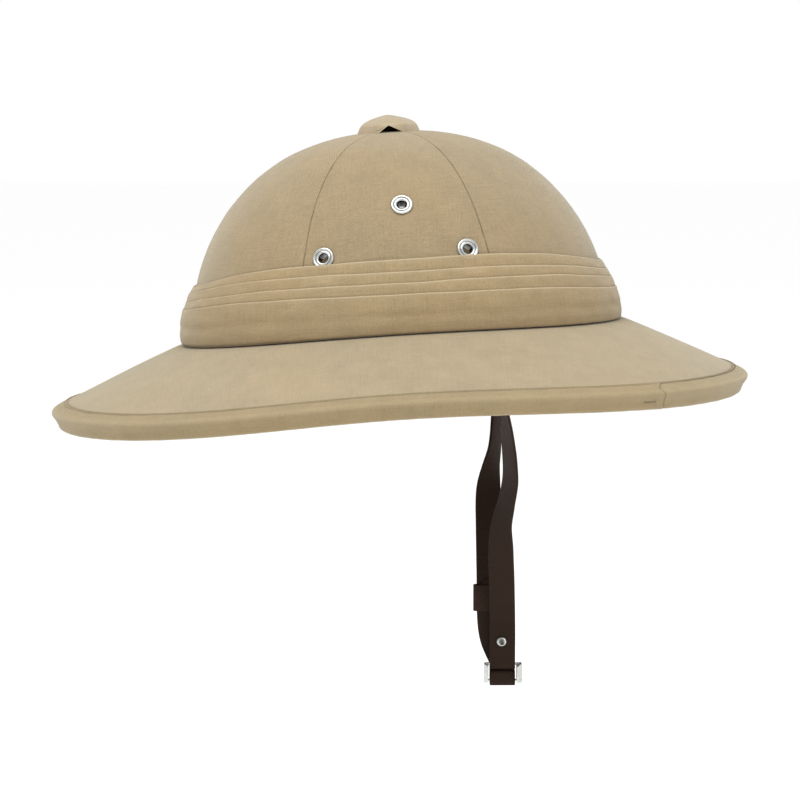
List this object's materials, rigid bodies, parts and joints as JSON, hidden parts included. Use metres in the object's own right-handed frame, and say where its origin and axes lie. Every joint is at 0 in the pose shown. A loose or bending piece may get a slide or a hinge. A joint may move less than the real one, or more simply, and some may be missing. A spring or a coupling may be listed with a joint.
{
  "type": "pith helmet",
  "caption": "Domed cloth-covered sun helmet with a wide sloping brim, pleated band, vent cap, metal eyelets and a buckled leather chin strap.",
  "frame": {"origin": "middle of the crown's base, where the helmet seats on a head", "axes": "+X the way the wearer faces, +Y to the wearer's left, +Z plumb up; the helmet is worn with its front raised 3.7 degrees"},
  "size_m": [0.3383, 0.2938, 0.2816],
  "materials": {
    "crown_cloth": "matt khaki cotton twill",
    "brim_cloth": "matt khaki cotton twill, a little paler",
    "band_cloth": "khaki twill folded in pleats",
    "shell_cloth": "cloth-faced moulded pith",
    "leather": "dark brown smooth leather",
    "nickel": "polished nickel plate"
  },
  "bodies": {
    "root": {"crown_shell": "shell_cloth", "brim_shell": "shell_cloth", "gore_1": "crown_cloth", "gore_2": "crown_cloth", "gore_3": "crown_cloth", "gore_4": "crown_cloth", "gore_5": "crown_cloth", "gore_6": "crown_cloth", "brim_cover": "brim_cloth", "brim_binding": "brim_cloth", "puggaree": "band_cloth", "vent_cap": "brim_cloth", "eyelet_near_front": "nickel", "eyelet_near_back": "nickel", "eyelet_near_top": "nickel", "eyelet_far_front": "nickel", "eyelet_far_back": "nickel", "eyelet_far_top": "nickel", "strap_near": "leather", "strap_far": "leather", "strap_keeper": "leather", "strap_buckle": "nickel", "strap_stud": "nickel", "strap_rivet_near": "nickel", "strap_rivet_far": "nickel"}
  },
  "joints": []
}
